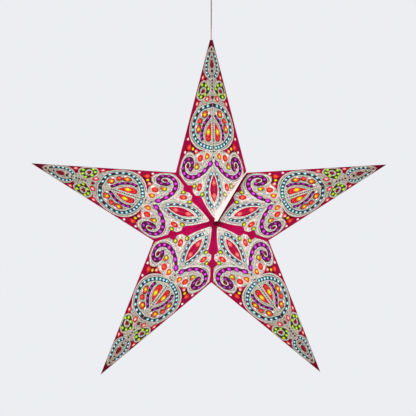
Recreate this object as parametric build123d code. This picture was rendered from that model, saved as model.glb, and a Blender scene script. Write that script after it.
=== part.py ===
from build123d import *
import math
import os

# Paper star lantern: five folded points glued side by side, lit by one bulb on its own flex.
# The origin is the ceiling face that the lantern hangs from. The front looks towards -Y.

# Star, in millimetres
points = 5
tip_radius = 315.0
notch_radius = 102.0
half_depth = 75.0
paper = 0.45
tissue = 0.3
flange = 12.0
flange_end = 9.0
bare_tip = 14.0

# Closing seam between the top point and the upper right point
seam_lift = 7.0
seam_lap = 2.7
corner_snip = 4.0
dot_across = 9.0
dot_thickness = 1.5
dot_pitch = 28.0
dot_start = 24.0

# Punched ornament, by distance from the tip along the ridge and distance from the ridge
curl_eye_from_tip = 218.0
curl_eye_from_ridge = 57.0
curl_ring = 11.3
curl_tail = 38.4
curl_fade = 43.0
curl_start = -82.0
curl_gems = 11
gem_length = 7.0
gem_width = 6.0
gem_gap = 6.0
eye_length = 13.0
eye_width = 5.0
medallion_from_tip = 163.0
medallion_half_length = 41.0
medallion_half_width = 53.0
medallion_gem_ring = 0.66
medallion_gem_first = 98.0
medallion_gem_step = 26.5
medallion_gems = 3
medallion_gem_size = 5.2
leaf_from_tip = 170.5
leaf_from_ridge = 10.5
leaf_length = 29.0
leaf_width = 8.0
lens_from_tip = 268.5
lens_length = 45.0
lens_half_width = 7.4
petal_from_tip = 258.5
petal_from_ridge = 31.0
petal_length = 13.5
petal_width = 9.0
bud_from_tip = 97.0
bud_from_ridge = 21.5
bud_length = 8.5
bud_width = 9.5
tip_lens_from_tip = 55.5
tip_lens_length = 14.0
tip_lens_half_width = 4.2

# Flex and the grip that carries the paper
cord_radius = 1.1
cord_clearance = 0.15
cord_shown = 84.0
grip_length = 15.0
grip_clearance = 0.1

# Lampholder and bulb
bulb_radius = 16.0
bulb_length = 58.0
base_radius = 6.95
base_length = 22.0
base_clearance = 0.3
holder_wall = 3.2
holder_floor = 3.0
cap_height = 12.0
cord_seat = 6.0

# Ceiling fitting
cup_width = 60.0
cup_height = 20.0
cup_wall = 1.6
cup_corner = 8.0
nut_across = 11.0
nut_height = 5.0
sleeve_across = 6.8
nut_clearance = 0.1

half_step = math.pi / points
step_degrees = 360.0 / points
notch_x = notch_radius * math.sin(half_step)
notch_z = notch_radius * math.cos(half_step)
front_lifted = half_depth + seam_lift
far = 4.0 * tip_radius
star_drop = cup_height + nut_height + cord_shown + tip_radius
STANDING = (Align.CENTER, Align.CENTER, Align.MIN)


def face_plane(side, apex_y):
    """One of a point's four faces: origin at the tip, x down the ridge and z outward."""
    tip = Vector(0, 0, tip_radius)
    apex = Vector(0, apex_y, 0)
    notch = Vector(side * notch_x, 0, notch_z)
    normal = (apex - tip).cross(notch - tip)
    if normal.Y * apex_y < 0:
        normal = normal * -1
    return Plane(origin=tip, x_dir=apex - tip, z_dir=normal)


def valley_plane(side):
    """The plane through the front and back apex and one notch, with z away from the point."""
    return Plane(origin=(0, 0, 0), z_dir=(side * math.cos(half_step), 0, -math.sin(half_step)))


def keep_inside(body, planes):
    """What is left of a body behind every plane of a list."""
    for plane in planes:
        body = split(body, bisect_by=plane, keep=Keep.BOTTOM)
    return body


def four_faces(front_y, inset):
    """The planes of a point's four faces, moved inward by an inset."""
    return [
        face_plane(side, apex_y).offset(-inset)
        for side in (-1, 1)
        for apex_y in (front_y, half_depth)
    ]


def hull(front_y, inset, left_gap, right_gap):
    """The closed form of a point, with its faces inset and its two valley sides set back."""
    sides = [valley_plane(-1).offset(-left_gap), valley_plane(1).offset(-right_gap)]
    return keep_inside(Box(far, far, far), four_faces(front_y, inset) + sides)


def prism(outline, plane):
    """A short punch through the paper, square to one face."""
    return extrude(plane * outline, amount=2 * paper, both=True)


def lozenge(length, width):
    """A four-sided spot with its long way down the ridge."""
    half = length / 2
    return Polygon((half, 0), (0, width / 2), (-half, 0), (0, -width / 2), align=None)


def leaf(length, width):
    """A six-sided leaf with its long way down the ridge."""
    half = length / 2
    flat = length / 5
    wide = width / 2
    return Polygon(
        (half, 0), (flat, wide), (-flat, wide), (-half, 0), (-flat, -wide), (flat, -wide), align=None
    )


def ridge_leaf(length, half_width):
    """Half of a leaf that lies across the ridge, run a little past the fold."""
    half = length / 2
    flat = length / 6
    return Polygon(
        (half, -paper), (flat, half_width), (-flat, half_width), (-half, -paper), align=None
    )


def curl_spots():
    """The gems of the large curl, along a spiral that closes round its eye."""
    spots = []
    turn = curl_start
    for _ in range(curl_gems):
        fade = math.exp((curl_start - turn) / curl_fade)
        radius = curl_ring + curl_tail * fade
        size = 0.72 + 0.28 * fade
        place = Pos(
            curl_eye_from_tip + radius * math.cos(math.radians(turn)),
            curl_eye_from_ridge + radius * math.sin(math.radians(turn)),
        )
        spots.append(place * Rot(0, 0, turn) * Rectangle(gem_width * size, gem_length * size))
        pitch = gem_length * size + gem_gap
        fall = curl_tail * fade * math.degrees(1) / curl_fade
        turn += math.degrees(pitch / math.hypot(radius, fall))
    return spots


def medallion_spots():
    """The upper gems inside the medallion, on an oval ring of its own proportions."""
    spots = []
    for number in range(medallion_gems):
        turn = math.radians(medallion_gem_first + number * medallion_gem_step)
        along = medallion_from_tip + medallion_gem_ring * medallion_half_length * math.cos(turn)
        across = medallion_gem_ring * medallion_half_width * math.sin(turn)
        gem = Rot(0, 0, 45) * Rectangle(medallion_gem_size, medallion_gem_size)
        spots.append(Pos(along, across) * gem)
    return spots


def face_outlines():
    """Every punched opening of one face, drawn flat."""
    outlines = curl_spots() + medallion_spots()
    outlines.append(Pos(curl_eye_from_tip, curl_eye_from_ridge) * lozenge(eye_length, eye_width))
    outlines.append(Pos(leaf_from_tip, leaf_from_ridge) * leaf(leaf_length, leaf_width))
    outlines.append(Pos(petal_from_tip, petal_from_ridge) * leaf(petal_length, petal_width))
    outlines.append(Pos(bud_from_tip, bud_from_ridge) * lozenge(bud_length, bud_width))
    outlines.append(Pos(lens_from_tip, 0) * ridge_leaf(lens_length, lens_half_width))
    outlines.append(Pos(tip_lens_from_tip, 0) * ridge_leaf(tip_lens_length, tip_lens_half_width))
    return outlines


def punches(front_y):
    """The punches of all four faces of a point."""
    outlines = face_outlines()
    front = [prism(outline, face_plane(1, front_y)) for outline in outlines]
    back = [mirror(prism(outline, face_plane(1, -half_depth)), about=Plane.XZ) for outline in outlines]
    right = front + back
    return right + [mirror(cutter, about=Plane.YZ) for cutter in right]


def flange_window(side):
    """The open middle of a valley side, which leaves a glue flange along the two valley folds."""
    slope = math.hypot(notch_radius, half_depth) / notch_radius
    reach = flange * slope
    inner = half_depth - reach
    end = inner - half_depth * flange_end / notch_radius
    tall = half_depth + seam_lift + flange
    outline = Polygon(
        (-flange, -tall),
        (flange_end, -tall),
        (flange_end, -end),
        (notch_radius * inner / half_depth, 0),
        (flange_end, end),
        (flange_end, tall),
        (-flange, tall),
        align=None,
    )
    valley = Plane(
        origin=(0, 0, 0),
        x_dir=(side * math.sin(half_step), 0, math.cos(half_step)),
        z_dir=(side * math.cos(half_step), 0, -math.sin(half_step)),
    )
    return extrude(valley * outline, amount=flange, both=True)


def flanges(front_y, side, gap):
    """The folded-in glue flange of one side of a point, set back from the valley by a gap."""
    gaps = {side: gap, -side: 0.0}
    inner = {side: gap + paper, -side: -flange}
    whole = hull(front_y, 0, gaps[-1], gaps[1])
    core = hull(front_y, -flange, inner[-1], inner[1])
    return whole - core - flange_window(side)


def plain_point():
    """A point that is glued to its neighbours on both sides."""
    walls = hull(-half_depth, 0, 0, 0) - hull(-half_depth, paper, -flange, -flange)
    sheet = walls + flanges(-half_depth, -1, 0) + flanges(-half_depth, 1, 0)
    return sheet.cut(*punches(-half_depth)).solid()


def tip_cut():
    """Distance from the top point's tip at which its flex hole is cut."""
    lean = abs(face_plane(1, -front_lifted).z_dir.Z)
    return (cord_radius + cord_clearance + paper) / lean


def lap_plane():
    """The free front edge of the top point, from the notch to past the star's centre."""
    across = math.cos(half_step)
    down = math.sin(half_step)
    start = Vector(notch_x - dot_thickness * across, 0, notch_z + dot_thickness * down)
    end = Vector(seam_lap * across + corner_snip * down, 0, corner_snip * across - seam_lap * down)
    edge = end - start
    return Plane(origin=start, z_dir=(-edge.Z, 0, edge.X))


def snip_plane():
    """The snipped lower corner of the lapping face, in line with the far valley."""
    return valley_plane(-1).offset(-corner_snip)


def top_point():
    """The point that closes the star: its right front face laps over the next point, unglued."""
    front_y = -front_lifted
    walls = hull(front_y, 0, 0, -flange) - hull(front_y, paper, -flange, -2 * flange)
    left = split(walls, bisect_by=Plane.YZ, keep=Keep.BOTTOM)
    right = split(walls, bisect_by=Plane.YZ, keep=Keep.TOP)
    right_front = split(right, bisect_by=Plane.XZ, keep=Keep.TOP)
    right_back = split(right, bisect_by=Plane.XZ, keep=Keep.BOTTOM)
    right_front = keep_inside(right_front, [lap_plane(), snip_plane()])
    right_back = keep_inside(right_back, [valley_plane(1).offset(-dot_thickness)])
    back_flange = split(flanges(front_y, 1, dot_thickness), bisect_by=Plane.XZ, keep=Keep.BOTTOM)
    sheet = left + right_front + right_back + flanges(front_y, -1, 0) + back_flange
    sheet = keep_inside(sheet, [Plane(origin=(0, 0, tip_radius - tip_cut()), z_dir=(0, 0, 1))])
    return sheet.cut(*punches(front_y)).solid()


def lining(front_y, right_gap, start):
    """The tissue glued behind the four faces of a point, short of its tip and its flanges."""
    margin = 2 * paper
    outer = hull(front_y, paper, margin, right_gap + margin)
    inner = hull(front_y, paper + tissue, -flange, -flange)
    end = Plane(origin=(0, 0, tip_radius - start), z_dir=(0, 0, 1))
    return keep_inside(outer - inner, [end]).solid()


def grip():
    """The tapered grip on the flex, inside the top tip, that the paper hangs on."""
    body = hull(-front_lifted, paper + grip_clearance, 0, 0)
    top = tip_radius - tip_cut()
    upper = Plane(origin=(0, 0, top), z_dir=(0, 0, 1))
    lower = Plane(origin=(0, 0, top - grip_length), z_dir=(0, 0, -1))
    bore = Pos(0, 0, top) * Cylinder(cord_radius + grip_clearance, 3 * grip_length)
    return (keep_inside(body, [upper, lower]) - bore).solid()


def dots():
    """Six-sided hook and loop dots that close the seam between the two back flanges."""
    valley = Plane(
        origin=(0, 0, 0),
        x_dir=(math.sin(half_step), 0, math.cos(half_step)),
        z_dir=(math.cos(half_step), 0, -math.sin(half_step)),
    )
    edge = Vector(-notch_radius, -half_depth, 0).normalized()
    inward = Vector(-half_depth, notch_radius, 0).normalized()
    placed = []
    for number in range(3):
        spot = Vector(notch_radius, 0, 0) + edge * (dot_start + number * dot_pitch) + inward * (flange / 2)
        outline = RegularPolygon(dot_across / 2, 6, major_radius=False)
        dot = extrude(Pos(spot.X, spot.Y, -dot_thickness) * outline, dot_thickness)
        placed.append(valley * dot)
    return Compound(placed)


def bulb():
    """A sealed tubular bulb with its screw base upward, centred on the star."""
    glass = Cylinder(bulb_radius, bulb_length)
    screw = Pos(0, 0, bulb_length / 2) * Cylinder(base_radius, base_length, align=STANDING)
    return (glass + screw).solid()


def holder():
    """The lampholder's tube, blind at the top where the bulb's contact rests."""
    bore = base_radius + base_clearance
    low = bulb_length / 2 + base_clearance
    high = bulb_length / 2 + base_length
    tube = Pos(0, 0, low) * Cylinder(bore + holder_wall, high + holder_floor - low, align=STANDING)
    hollow = Pos(0, 0, low) * Cylinder(bore, high - low, align=STANDING)
    return (tube - hollow).solid()


def cap():
    """The lampholder's cap, with eight flats to grip and a blind hole that the flex ends in."""
    low = bulb_length / 2 + base_length + holder_floor
    wide = base_radius + base_clearance + holder_wall
    body = Pos(0, 0, low) * extrude(RegularPolygon(wide, 8), cap_height)
    mouth = Pos(0, 0, low + cap_height - cord_seat)
    seat = mouth * Cylinder(cord_radius + cord_clearance, cord_seat, align=STANDING)
    return (body - seat).solid()


def cord():
    """The flex: one straight taut run from the ceiling fitting to the lampholder's cap."""
    top = -cup_height + nut_height
    bottom = -star_drop + bulb_length / 2 + base_length + holder_floor + cap_height - cord_seat
    return Pos(0, 0, bottom) * Cylinder(cord_radius, top - bottom, align=STANDING)


def ceiling_cup():
    """A thin square cup with its open rim on the ceiling and a six-sided hole that keys the flex nut."""
    outline = Rectangle(cup_width, cup_width)
    outline = chamfer(outline.vertices(), cup_corner)
    shell = extrude(outline, -cup_height)
    inside = extrude(offset(outline, -cup_wall, kind=Kind.INTERSECTION), -cup_height + cup_wall)
    keyed = RegularPolygon(sleeve_across / 2 + nut_clearance, 6, major_radius=False)
    hole = Pos(0, 0, -cup_height) * extrude(keyed, cup_wall)
    return (shell - inside - hole).solid()


def flex_nut():
    """The flex grip: a six-sided nut under the cup, with a keyed sleeve and a closed crown inside it."""
    under = extrude(RegularPolygon(nut_across / 2, 6, major_radius=False), -nut_height)
    lower = Pos(0, 0, -cup_height) * under
    sleeve = Pos(0, 0, -cup_height) * extrude(RegularPolygon(sleeve_across / 2, 6, major_radius=False), cup_wall)
    crown = extrude(RegularPolygon(nut_across / 2, 6, major_radius=False), nut_height)
    upper = Pos(0, 0, -cup_height + cup_wall) * crown
    start = Pos(0, 0, -cup_height - nut_height)
    hole = start * Cylinder(cord_radius + cord_clearance, 2 * nut_height, align=STANDING)
    return (lower + sleeve + upper - hole).solid()


os.makedirs("parts", exist_ok=True)

star_place = Pos(0, 0, -star_drop)
side_names = ["upper_right", "lower_right", "lower_left", "upper_left"]

export_step(star_place * top_point(), "parts/point_top.step")
top_start = tip_cut() + grip_length + grip_clearance
export_step(star_place * lining(-front_lifted, dot_thickness, top_start), "parts/lining_top.step")

folded = plain_point()
lined = lining(-half_depth, 0, bare_tip)
for number, name in enumerate(side_names, start=1):
    turned = star_place * Rot(0, number * step_degrees, 0)
    export_step(turned * folded, f"parts/point_{name}.step")
    export_step(turned * lined, f"parts/lining_{name}.step")

export_step(star_place * dots(), "parts/closing_dots.step")
export_step(star_place * grip(), "parts/tip_grip.step")
export_step(star_place * bulb(), "parts/bulb.step")
export_step(star_place * holder(), "parts/lampholder.step")
export_step(star_place * cap(), "parts/lampholder_cap.step")
export_step(cord(), "parts/lamp_cord.step")
export_step(ceiling_cup(), "parts/ceiling_cup.step")
export_step(flex_nut(), "parts/ceiling_flex_nut.step")
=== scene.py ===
"""The looks of a lit paper star lantern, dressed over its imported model."""
import logging
import math
from collections.abc import Callable, Iterable, Sequence
from dataclasses import dataclass
from enum import Enum

import bpy
from bpy.types import Material, Node, NodeSocket, Object
from mathutils import Matrix, Vector


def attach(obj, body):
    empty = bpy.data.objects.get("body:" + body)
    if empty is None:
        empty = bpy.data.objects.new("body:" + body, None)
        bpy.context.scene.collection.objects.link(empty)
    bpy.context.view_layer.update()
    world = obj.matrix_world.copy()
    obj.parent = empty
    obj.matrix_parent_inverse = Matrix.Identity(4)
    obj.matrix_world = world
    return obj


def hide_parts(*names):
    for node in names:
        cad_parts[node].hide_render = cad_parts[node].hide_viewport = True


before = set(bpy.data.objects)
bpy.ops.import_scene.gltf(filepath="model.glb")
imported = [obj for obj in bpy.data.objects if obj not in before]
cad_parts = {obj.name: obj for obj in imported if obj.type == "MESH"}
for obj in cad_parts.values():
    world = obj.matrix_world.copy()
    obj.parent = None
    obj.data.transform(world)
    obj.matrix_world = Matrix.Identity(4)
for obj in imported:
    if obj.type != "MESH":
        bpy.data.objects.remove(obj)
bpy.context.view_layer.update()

logging.basicConfig(level=logging.INFO, format="%(message)s")
log = logging.getLogger("lantern")

MM = 0.001
STEP = 72  # degrees from one point to the next
HALF_STEP = math.pi / 5
# A spot's brightness attribute is painted light: painted shade at the rim, painted lamp light at the core.
GLOW = "depth"  # the attribute that takes a spot's finish from its rim to its core
Colour = tuple[int, int, int]
Stops = tuple[tuple[float, Colour], ...]
Spot2 = tuple[float, float]
Outline = list[Spot2]


class Point(Enum):
    """The five points, by how many fifths of a turn each stands from the top."""

    TOP = 0
    UPPER_RIGHT = 1
    LOWER_RIGHT = 2
    LOWER_LEFT = 3
    UPPER_LEFT = 4


@dataclass(frozen=True)
class Star:
    """The folded star's own sizes, in metres, and where its faces lie."""

    tip_radius: float = 0.315
    notch_radius: float = 0.102
    half_depth: float = 0.075
    seam_lift: float = 0.007
    drop: float = 0.424

    @property
    def centre(self) -> Vector:
        """The star's middle in the row frame."""
        return Vector((0, 0, -self.drop))

    def notch(self, side: int = 1) -> Vector:
        """The notch beside the top point, from the star's middle; side 1 is clockwise."""
        return Vector((side * math.sin(HALF_STEP), 0, math.cos(HALF_STEP))) * self.notch_radius

    def face(self, point: Point, side: int, front: bool) -> Matrix:
        """Give the place of one sloping face.

        Args:
            point: The point that the face belongs to.
            side: 1 for the face clockwise of the ridge, -1 for the other.
            front: Whether the face looks to the front.

        Returns:
            The matrix from millimetres down the ridge, across the face and out
            of the paper to the row frame.
        """
        depth = self.half_depth
        if point is Point.TOP and front:
            depth += self.seam_lift
        tip = Vector((0, 0, self.tip_radius))
        apex = Vector((0, -depth if front else depth, 0))
        down = (apex - tip).normalized()
        reach = self.notch(side) - tip
        across = (reach - reach.dot(down) * down).normalized()
        out = down.cross(across)
        if out.y * apex.y < 0:
            out = -out
        place = Matrix((down, across, out)).transposed().to_4x4()
        place.translation = tip
        turn = Matrix.Rotation(math.radians(STEP * point.value), 4, "Y")
        return Matrix.Translation(self.centre) @ turn @ place @ Matrix.Scale(MM, 4)


STAR = Star()


def linear(colour: Colour) -> tuple[float, float, float, float]:
    """Turn a colour of 0 to 255 a channel into the shader's linear values."""
    shares = [channel / 255 for channel in colour]
    return tuple(c / 12.92 if c <= 0.04045 else ((c + 0.055) / 1.055) ** 2.4 for c in shares) + (1.0,)


def operator(operation: str, swapped: bool = False) -> Callable[["Value", object], "Value"]:
    """Make a Value operator that adds one Math node, its sides swapped for a reflected form."""

    def act(first: "Value", second: object) -> "Value":
        """Add the node."""
        return first.maths(operation, *((second, first) if swapped else (first, second)))

    return act


class Value:
    """A shader value whose arithmetic adds Math nodes."""

    __add__, __radd__ = operator("ADD"), operator("ADD", True)
    __sub__, __rsub__ = operator("SUBTRACT"), operator("SUBTRACT", True)
    __mul__, __rmul__ = operator("MULTIPLY"), operator("MULTIPLY", True)
    __truediv__, __rtruediv__ = operator("DIVIDE"), operator("DIVIDE", True)
    __pow__, __rpow__ = operator("POWER"), operator("POWER", True)
    __gt__, __lt__ = operator("GREATER_THAN"), operator("LESS_THAN")
    greater, lesser = operator("MAXIMUM"), operator("MINIMUM")

    def __init__(self, recipe: "Recipe", socket: NodeSocket) -> None:
        """Wrap one output socket of a recipe's tree."""
        self.recipe = recipe
        self.socket = socket

    def maths(self, operation: str, *sides: object) -> "Value":
        """Add one Math node and wrap its result."""
        return self.recipe.value(self.recipe.node("Math", {"operation": operation}, dict(enumerate(sides))))

    def clamp(self) -> "Value":
        """Keep the value between 0 and 1."""
        return self.greater(0.0).lesser(1.0)


class Recipe:
    """The node tree of one material or world, built a node at a time."""

    mean_tone = 1.02

    def __init__(self, name: str, kind: str = "materials") -> None:
        """Start an empty tree in a new material or world of that name."""
        self.owner = getattr(bpy.data, kind).new(name)
        self.owner.use_nodes = True
        self.tree = self.owner.node_tree
        self.tree.nodes.clear()

    def feed(self, socket: NodeSocket, value: object) -> None:
        """Link or set one input socket; a node stands for its first output."""
        if isinstance(value, Node):
            value = value.outputs[0]
        elif isinstance(value, Value):
            value = value.socket
        if isinstance(value, NodeSocket):
            self.tree.links.new(value, socket)
        elif socket.type == "VECTOR":
            socket.default_value = tuple(value)[:3]
        else:
            socket.default_value = value

    def node(
        self, kind: str, settings: dict[str, object] | None = None, inputs: dict[object, object] | None = None,
    ) -> Node:
        """Add a node.

        Args:
            kind: Its type, without the ShaderNode that each begins with.
            settings: Its settings, set first; stops are a ramp's (place, colour) pairs.
            inputs: Values or links by socket name or number.

        Returns:
            The new node.
        """
        node = self.tree.nodes.new(f"ShaderNode{kind}")
        for key, value in (settings or {}).items():
            if key == "stops":
                ramp = node.color_ramp.elements
                while len(ramp) < len(value):
                    ramp.new(0.5)
                for stop, (place, colour) in zip(ramp, value):
                    stop.position = place
                    stop.color = linear(colour)
            else:
                setattr(node, key, value)
        for key, value in (inputs or {}).items():
            self.feed(node.inputs[key], value)
        return node

    def value(self, node: Node, output: object = 0) -> Value:
        """Wrap one output of a node."""
        return Value(self, node.outputs[output])

    def place(self) -> NodeSocket:
        """The point of the surface in the row frame."""
        return self.node("TexCoord").outputs["Object"]

    def xyz(self) -> list[Value]:
        """The three coordinates of that point."""
        return [Value(self, socket) for socket in self.node("SeparateXYZ", {}, {0: self.place()}).outputs]

    def noise(self, size: float, detail: float = 2.0, stretch: Sequence[float] = (1, 1, 1)) -> Value:
        """Give a noise value about 0.5.

        Args:
            size: The size of its grains in metres.
            detail: How much finer noise lies in it.
            stretch: How much the grains are drawn along each axis.

        Returns:
            The noise value.
        """
        scale = tuple(1 / (size * s) for s in stretch)
        place = self.node("Mapping", {}, {"Vector": self.place(), "Scale": scale})
        return self.value(self.node("TexNoise", {}, {"Vector": place, "Scale": 1.0, "Detail": detail}))

    def ramp(self, value: object, stops: Stops) -> Node:
        """Give the colour that a ramp has at a value."""
        return self.node("ValToRGB", {"stops": stops}, {0: value})

    def mix(self, share: object, first: object, second: object) -> NodeSocket:
        """Mix two colours by a share."""
        return self.node("Mix", {"data_type": "RGBA"}, {0: share, 6: first, 7: second}).outputs[2]

    def vector(self, operation: str, *sides: object) -> Node:
        """Add one Vector Math node."""
        return self.node("VectorMath", {"operation": operation}, dict(enumerate(sides)))

    def scaled(self, colour: object, factor: object) -> Node:
        """Multiply a colour by a number."""
        return self.node("VectorMath", {"operation": "SCALE"}, {0: colour, "Scale": factor})

    def grained(self, colour: object, speck: Value, contrast: float) -> Node:
        """Make a colour grainy by a noise value."""
        return self.scaled(colour, speck * contrast + (self.mean_tone - contrast / 2))

    def from_centre(self) -> Value:
        """The distance from the star's axis, as a share of its tip radius."""
        flat = self.vector("MULTIPLY", self.vector("SUBTRACT", self.place(), STAR.centre), (1.0, 0.0, 1.0))
        return self.value(self.vector("LENGTH", flat), 1) / STAR.tip_radius

    def bump(self, height: object, depth: float) -> Node:
        """Give a normal bent by a height of so many metres."""
        return self.node("Bump", {}, {"Height": height, "Distance": depth})

    def close(self, shader: Node, output: str = "Material") -> object:
        """Lead a shader to the tree's output, and give the tree's owner."""
        self.node(f"Output{output}", {}, {0: shader})
        return self.owner

    def finish(self, inputs: dict[str, object]) -> Material:
        """Close the recipe with one Principled shader."""
        return self.close(self.node("BsdfPrincipled", {}, inputs))


@dataclass(frozen=True)
class Seam:
    """The free edge of the top point: painted glow on its lap where the lamp shows, painted shade on its neighbour.

    Lengths are in metres: run goes up the edge from its foot, off goes from it to the top
    point's side, and the snip is a straight line across the lap's lower corner.
    """

    foot: Spot2 = (0.0045, 0.0016)
    along: Spot2 = (0.5526, 0.8334)
    length: float = 0.098
    before: float = 0.006
    beyond: float = 0.004
    slack: float = 0.0001
    snip: Spot2 = (0.8090, 0.5878)
    snip_off: float = 0.004
    past_middle: float = 0.0005
    glow_reach: float = 0.034
    glow_least: float = 0.001
    glow_fall: float = 1.3
    glow_share: float = 0.6
    strip_wide: float = 0.012
    strip_least: float = 0.0012
    strip_soft: float = 0.0035
    strip_share: float = 0.95
    shade_reach: float = 0.018
    shade_fall: float = 1.6
    shade_share: float = 0.8
    line_reach: float = 0.0034
    line_share: float = 0.3
    under_dark: float = 0.93
    snip_dark: float = 0.72

    def light(self, recipe: Recipe) -> tuple[Value, Value]:
        """Give the seam's painted glow and painted shade in a finish.

        Args:
            recipe: The material that is being built.

        Returns:
            How far the colour is washed out to the painted glow, and what it is multiplied by for the painted shade.
        """
        x, y, z = recipe.xyz()
        front = y < 0.0
        dx, dz = x - self.foot[0], z + (STAR.drop - self.foot[1])
        run = dx * self.along[0] + dz * self.along[1]
        off = dz * self.along[0] - dx * self.along[1]
        left = (1.0 - run / self.length).clamp()
        corner = x * self.snip[0] + (z + STAR.drop) * self.snip[1]
        lap = front * (off > -self.slack) * (x > 0.0) * (corner > self.snip_off - self.slack)
        # Painted glow: the lap washes out towards the lamp's colour, widest near the foot.
        painted_glow = (1.0 - off / (left * self.glow_reach + self.glow_least)).clamp() ** self.glow_fall
        # Painted highlight: a pale strip along the lap's free edge.
        strip = ((left * self.strip_wide + self.strip_least - off) / self.strip_soft).clamp()
        glow = lap * (painted_glow * self.glow_share + strip * self.strip_share).clamp()
        # Painted shade on the neighbour beside the lap, with a darker painted shadow line along the edge.
        under = front * (off < self.slack) * (run > -self.before) * (run < self.length + self.beyond)
        near = (1.0 + off / self.shade_reach).clamp() ** self.shade_fall
        line = (1.0 + off / self.line_reach).clamp()
        under = under * (near * self.shade_share + line * self.line_share).clamp() * self.under_dark
        # Painted shadow beyond the lap's snipped corner.
        below = front * (off > 0.0) * (x > -self.past_middle)
        below = below * (corner < self.snip_off) * (corner > -self.snip_off) * self.snip_dark
        return glow, 1.0 - (under + below).clamp()


SEAM = Seam()


@dataclass(frozen=True)
class Lit:
    """How much of a finish's colour is painted glow for the lamp behind it, and how much comes from the room."""

    room: float = 0.5
    lamp: float = 0.55
    # The colour that the seam's painted glow washes out to.
    painted_glow: Colour = (255, 238, 234)
    gloss: float = 0.05

    def close(self, recipe: Recipe, colour: object, roughness: float, normal: Node | None = None) -> Material:
        """Close a lit finish, with the seam's painted glow and painted shade on it.

        Args:
            recipe: The material that is being built.
            colour: Its colour as it shows.
            roughness: The same all over.
            normal: A bent normal, if it has one.

        Returns:
            The finished material.
        """
        glow, shade = SEAM.light(recipe)
        colour = recipe.scaled(recipe.mix(glow, colour, linear(self.painted_glow)), shade)
        inputs = {
            "Base Color": recipe.scaled(colour, self.room), "Emission Color": colour,
            "Roughness": roughness, "Emission Strength": self.lamp, "Specular IOR Level": self.gloss,
        }
        if normal is not None:
            inputs["Normal"] = normal
        return recipe.finish(inputs)


LIT = Lit()


@dataclass(frozen=True)
class DyedPaperPaintedFalloff:
    """Magenta paper with a soft fibre and painted shade: darker away from the lamp and at its very middle."""

    name: str = "dyed_paper_painted_falloff"
    stops: Stops = (
        (0.0, (132, 2, 46)), (0.05, (164, 3, 64)), (0.12, (182, 6, 78)), (0.3, (166, 2, 64)), (0.6, (142, 0, 48)),
        (0.85, (106, 0, 30)), (1.0, (90, 0, 22)),
    )
    fibre: float = 0.0011
    fibre_stretch: float = 2.2
    fibre_share: float = 0.34
    cloud: float = 0.02
    cloud_share: float = 0.5
    base: float = 0.58
    rough: float = 0.7
    relief: float = 0.00012

    def material(self) -> Material:
        """Build the material."""
        recipe = Recipe(self.name)
        # Painted lamp falloff: the stops darken towards the tips, and painted shade darkens the very middle.
        colour = recipe.ramp(recipe.from_centre(), self.stops)
        fibre = recipe.noise(self.fibre, 3, (1, 1, self.fibre_stretch))
        cloud = recipe.noise(self.cloud, 2)
        colour = recipe.scaled(colour, fibre * self.fibre_share + cloud * self.cloud_share + self.base)
        return LIT.close(recipe, colour, self.rough, recipe.bump(fibre, self.relief))


@dataclass(frozen=True)
class SilverInk:
    """Pale silver print with a greenish and pinkish sparkle in it, painted darker away from the lamp."""

    name: str
    stops: Stops
    green: Colour = (158, 180, 152)
    pink: Colour = (200, 160, 158)
    sparkle: float = 0.6
    grain: float = 0.0021
    contrast: float = 1.5
    rough: float = 0.5
    patch: float = 2.3
    patch_stretch: float = 1.4
    green_above: float = 0.53
    pink_below: float = 0.46
    edge: float = 9.0
    relief: float = 0.0001

    def material(self) -> Material:
        """Build the material."""
        recipe = Recipe(self.name)
        # Painted lamp falloff: the stops darken from the middle towards the tips.
        colour = recipe.ramp(recipe.from_centre(), self.stops)
        speck = recipe.noise(self.grain, 1)
        patch = recipe.noise(self.grain * self.patch, 1, (1, self.patch_stretch, 1))
        for off, tint in ((patch - self.green_above, self.green), (self.pink_below - patch, self.pink)):
            share = (off * self.edge).clamp() * self.sparkle
            colour = recipe.mix(share, colour, linear(tint))
        colour = recipe.grained(colour, speck, self.contrast)
        return LIT.close(recipe, colour, self.rough, recipe.bump(speck, self.relief))


@dataclass(frozen=True)
class FieldInk:
    """A flat printed ground of one colour with a mottled tone, painted darker away from the lamp."""

    name: str
    near: Colour
    away: Colour
    mottle: float = 0.5
    grain: float = 0.0014
    rough: float = 0.6
    relief: float = 0.00008

    def material(self) -> Material:
        """Build the material."""
        recipe = Recipe(self.name)
        # Painted lamp falloff: near is the tone by the middle, away the darker tone towards the tips.
        colour = recipe.ramp(recipe.from_centre(), ((0.1, self.near), (0.9, self.away)))
        speck = recipe.noise(self.grain, 2)
        colour = recipe.grained(colour, speck, self.mottle)
        return LIT.close(recipe, colour, self.rough, recipe.bump(speck, self.relief))


@dataclass(frozen=True)
class LitSpot:
    """A punched spot: a bright core of painted lamp light, a dark rim of printed outline and painted shade."""

    name: str
    core: Colour
    body: Colour
    rim: Colour
    rim_end: float = 0.12
    core_start: float = 0.8
    lamp: float = 0.62
    rim_soft: float = 0.16
    core_soft: Spot2 = (0.12, 0.08)
    flicker: float = 0.3
    grain: float = 0.0045
    rough: float = 0.35

    def material(self) -> Material:
        """Build the material."""
        recipe = Recipe(self.name)
        depth = recipe.value(recipe.node("Attribute", {"attribute_name": GLOW}), 2)
        flicker = recipe.noise(self.grain, 1)
        # Rim to core: printed outline with painted shade, the spot's body, then painted lamp light through the hole.
        stops = (
            (0.0, self.rim), (self.rim_end, self.rim), (self.rim_end + self.rim_soft, self.body),
            (self.core_start - self.core_soft[0], self.body), (self.core_start + self.core_soft[1], self.core),
            (1.0, self.core),
        )
        colour = recipe.ramp((depth + (flicker - 0.5) * self.flicker).clamp(), stops)
        return Lit(lamp=self.lamp).close(recipe, colour, self.rough)


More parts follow.
